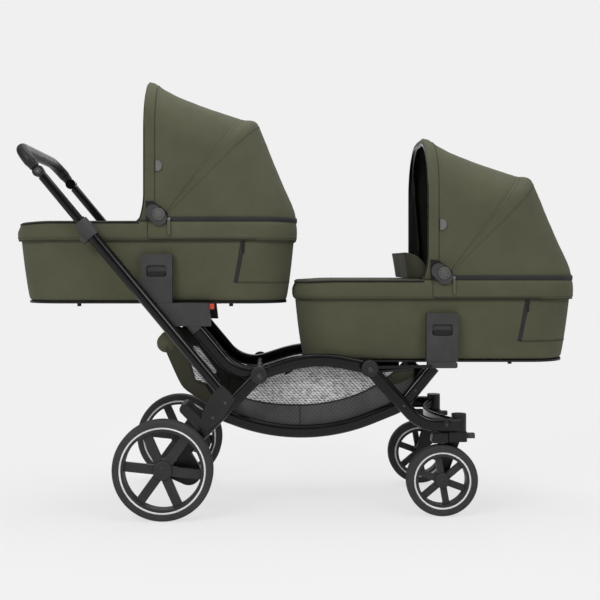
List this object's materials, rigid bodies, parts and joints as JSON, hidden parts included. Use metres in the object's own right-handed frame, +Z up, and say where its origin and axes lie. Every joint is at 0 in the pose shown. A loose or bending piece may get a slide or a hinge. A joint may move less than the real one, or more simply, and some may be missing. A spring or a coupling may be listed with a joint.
{
  "type": "tandem_pram",
  "caption": "Tandem twin pram with olive carrycots and hoods, one behind and above the other, on a black folding tube frame with a storage basket.",
  "frame": {"origin": "centre of the bounding box, on the ground", "axes": "+X the way the pram travels, +Y its left side, +Z up"},
  "size_m": [1.686, 0.616, 1.296],
  "materials": {
    "black_frame": "satin black powder coat",
    "inner_tube": "black anodised",
    "grey_moulding": "fine matt texture",
    "black_moulding": "satin",
    "button_grey": "satin",
    "grip_leather": "dark grey imitation leather",
    "tyre_rubber": "matt rubber",
    "wheel_grey": "matt with a pale painted ring",
    "olive_cloth": "woven olive cloth",
    "grey_cloth": "soft knitted cover",
    "basket_cloth": "open mesh with woven bands",
    "black_board": "matt"
  },
  "bodies": {
    "chassis": {"side_rail_left": "black_frame", "side_rail_right": "black_frame", "basket_rail_left": "black_frame", "basket_rail_right": "black_frame", "cross_tubes": "black_frame", "rail_pivots": "grey_moulding", "link_bars": "black_frame", "rear_adapters": "grey_moulding", "front_adapters": "grey_moulding", "basket": "basket_cloth"},
    "rear_frame": {"push_tube_left": "black_frame", "push_tube_right": "black_frame", "rear_leg_left": "black_frame", "rear_leg_right": "black_frame", "leg_blocks": "grey_moulding", "rear_cross_tube": "black_frame", "axle_carriers": "black_moulding"},
    "fold_trigger_l": {"fold_trigger_left": "grey_moulding"},
    "fold_trigger_r": {"fold_trigger_right": "grey_moulding"},
    "brake": {"brake_pedal": "grey_moulding"},
    "rear_wheel_l": {"rear_tyre_left": "tyre_rubber", "rear_rim_left": "wheel_grey"},
    "rear_wheel_r": {"rear_tyre_right": "tyre_rubber", "rear_rim_right": "wheel_grey"},
    "handle": {"handle_tubes": "inner_tube"},
    "grip": {"handle_grip": "grip_leather"},
    "button_l": {"handle_button_left": "button_grey"},
    "button_r": {"handle_button_right": "button_grey"},
    "front_frame": {"front_leg_left": "black_frame", "front_leg_right": "black_frame", "front_crossbar": "black_frame", "swivel_housings": "black_moulding"},
    "caster_l": {"caster_fork_left": "black_moulding"},
    "caster_r": {"caster_fork_right": "black_moulding"},
    "lock_l": {"swivel_lock_left": "grey_moulding"},
    "lock_r": {"swivel_lock_right": "grey_moulding"},
    "front_wheel_l": {"front_tyre_left": "tyre_rubber", "front_rim_left": "wheel_grey"},
    "front_wheel_r": {"front_tyre_right": "tyre_rubber", "front_rim_right": "wheel_grey"},
    "rear_cot": {"rear_cot_shell": "olive_cloth", "rear_cot_rim": "olive_cloth", "rear_cot_base": "black_board", "rear_mattress": "grey_cloth", "rear_apron": "olive_cloth", "rear_socket_plates": "grey_moulding", "rear_hood_fabric": "olive_cloth", "rear_hood_hinges": "grey_moulding"},
    "rear_release": {"rear_release_levers": "black_moulding"},
    "rear_hood": {"rear_hood_bow": "black_frame"},
    "front_cot": {"front_cot_shell": "olive_cloth", "front_cot_rim": "olive_cloth", "front_cot_base": "black_board", "front_mattress": "grey_cloth", "front_apron": "olive_cloth", "front_socket_plates": "grey_moulding", "front_hood_fabric": "olive_cloth", "front_hood_hinges": "grey_moulding"},
    "front_release": {"front_release_levers": "black_moulding"},
    "front_hood": {"front_hood_bow": "black_frame"}
  },
  "joints": [
    {"name": "frame_fold", "type": "hinge", "parent": "chassis", "child": "rear_frame", "pos_m": [-0.109, 0, 0.413], "axis": [0, -1, 0], "range_deg": [0, 42]},
    {"name": "front_leg_fold", "type": "hinge", "parent": "chassis", "child": "front_frame", "pos_m": [0.212, 0, 0.432], "axis": [0, 1, 0], "range_deg": [0, 42]},
    {"name": "handle_telescope", "type": "slide", "parent": "rear_frame", "child": "handle", "axis": [-0.6388, 0, 0.7694], "range_m": [-0.12, 0.04]},
    {"name": "handle_tilt", "type": "hinge", "parent": "handle", "child": "grip", "pos_m": [-0.74974, 0, 1.00483], "axis": [0, 1, 0], "range_deg": [-45, 30]},
    {"name": "handle_button_left", "type": "slide", "parent": "grip", "child": "button_l", "axis": [0, -1, 0], "range_m": [0, 0.003], "stiffness_N_per_m": 200, "springref_m": -0.003},
    {"name": "fold_trigger_left", "type": "slide", "parent": "rear_frame", "child": "fold_trigger_l", "axis": [-0.6388, 0, 0.7694], "range_m": [0, 0.012], "stiffness_N_per_m": 200, "springref_m": -0.008},
    {"name": "handle_button_right", "type": "slide", "parent": "grip", "child": "button_r", "axis": [0, 1, 0], "range_m": [0, 0.003], "stiffness_N_per_m": 200, "springref_m": -0.003},
    {"name": "fold_trigger_right", "type": "slide", "parent": "rear_frame", "child": "fold_trigger_r", "axis": [-0.6388, 0, 0.7694], "range_m": [0, 0.012], "stiffness_N_per_m": 200, "springref_m": -0.008},
    {"name": "brake_press", "type": "hinge", "parent": "rear_frame", "child": "brake", "pos_m": [-0.28191, 0, 0.22595], "axis": [0, -1, 0], "range_deg": [0, 25]},
    {"name": "rear_wheel_left", "type": "hinge", "parent": "rear_frame", "child": "rear_wheel_l", "pos_m": [-0.3845, 0.285, 0.145], "axis": [0, 1, 0], "continuous": true},
    {"name": "caster_swivel_left", "type": "hinge", "parent": "front_frame", "child": "caster_l", "pos_m": [0.475, 0.226, 0.245], "axis": [0, 0, 1], "continuous": true},
    {"name": "front_wheel_left", "type": "hinge", "parent": "caster_l", "child": "front_wheel_l", "pos_m": [0.425, 0.226, 0.104], "axis": [0, 1, 0], "continuous": true},
    {"name": "swivel_lock_left", "type": "slide", "parent": "caster_l", "child": "lock_l", "axis": [0, 0, 1], "range_m": [0, 0.005]},
    {"name": "rear_wheel_right", "type": "hinge", "parent": "rear_frame", "child": "rear_wheel_r", "pos_m": [-0.3845, -0.285, 0.145], "axis": [0, 1, 0], "continuous": true},
    {"name": "caster_swivel_right", "type": "hinge", "parent": "front_frame", "child": "caster_r", "pos_m": [0.475, -0.226, 0.245], "axis": [0, 0, 1], "continuous": true},
    {"name": "front_wheel_right", "type": "hinge", "parent": "caster_r", "child": "front_wheel_r", "pos_m": [0.425, -0.226, 0.104], "axis": [0, 1, 0], "continuous": true},
    {"name": "swivel_lock_right", "type": "slide", "parent": "caster_r", "child": "lock_r", "axis": [0, 0, 1], "range_m": [0, 0.005]},
    {"name": "rear_cot_lift", "type": "slide", "parent": "chassis", "child": "rear_cot", "axis": [0.1392, 0, 0.9903], "range_m": [0, 0.13]},
    {"name": "rear_release_lift", "type": "slide", "parent": "rear_cot", "child": "rear_release", "axis": [0, 0, 1], "range_m": [0, 0.008], "stiffness_N_per_m": 200, "springref_m": -0.005},
    {"name": "rear_hood_fold", "type": "hinge", "parent": "rear_cot", "child": "rear_hood", "pos_m": [-0.411, 0, 0.879], "axis": [0, 1, 0], "range_deg": [0, 60], "deforming": ["rear_hood_fabric"]},
    {"name": "front_cot_lift", "type": "slide", "parent": "chassis", "child": "front_cot", "axis": [0.1392, 0, 0.9903], "range_m": [0, 0.2]},
    {"name": "front_release_lift", "type": "slide", "parent": "front_cot", "child": "front_release", "axis": [0, 0, 1], "range_m": [0, 0.008], "stiffness_N_per_m": 200, "springref_m": -0.005},
    {"name": "front_hood_fold", "type": "hinge", "parent": "front_cot", "child": "front_hood", "pos_m": [0.427, 0, 0.706], "axis": [0, 1, 0], "range_deg": [0, 60], "deforming": ["front_hood_fabric"]}
  ],
  "couplings": [
    {"joint": "front_leg_fold", "follows": "frame_fold", "ratio": 1}
  ]
}
